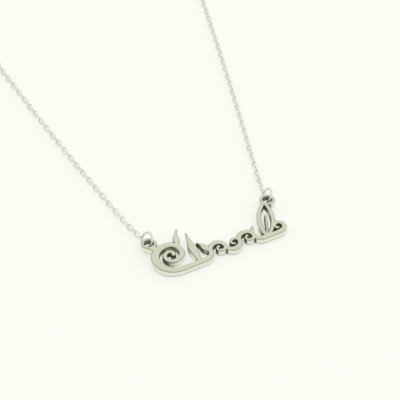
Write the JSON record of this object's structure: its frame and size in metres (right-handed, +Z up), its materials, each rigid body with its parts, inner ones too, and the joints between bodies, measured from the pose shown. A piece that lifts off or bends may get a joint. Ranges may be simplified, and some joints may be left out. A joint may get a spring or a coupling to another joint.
{
  "type": "scroll pendant necklace",
  "caption": "Fine cable-chain necklace lying closed, with a wide pierced scroll plate held between two upright jump rings.",
  "frame": {"origin": "on the surface the necklace lies on, under the middle of the plate's width, 4.9 mm in front of the line through its two end loops", "axes": "+X along the plate to its right end, +Y along the loop of chain away from the plate, +Z up off the surface"},
  "size_m": [0.0817, 0.1695, 0.0037],
  "materials": {
    "satin_steel": "satin face, polished edges",
    "polished_wire": "polished",
    "chain_wire": "drawn, tumbled bright"
  },
  "bodies": {
    "root": {"scroll_plate": "satin_steel", "ring_left": "polished_wire", "ring_right": "polished_wire", "chain_left": "chain_wire", "chain_right": "chain_wire", "clasp": "satin_steel", "clasp_ring_left": "polished_wire", "clasp_ring_right": "polished_wire"}
  },
  "joints": []
}
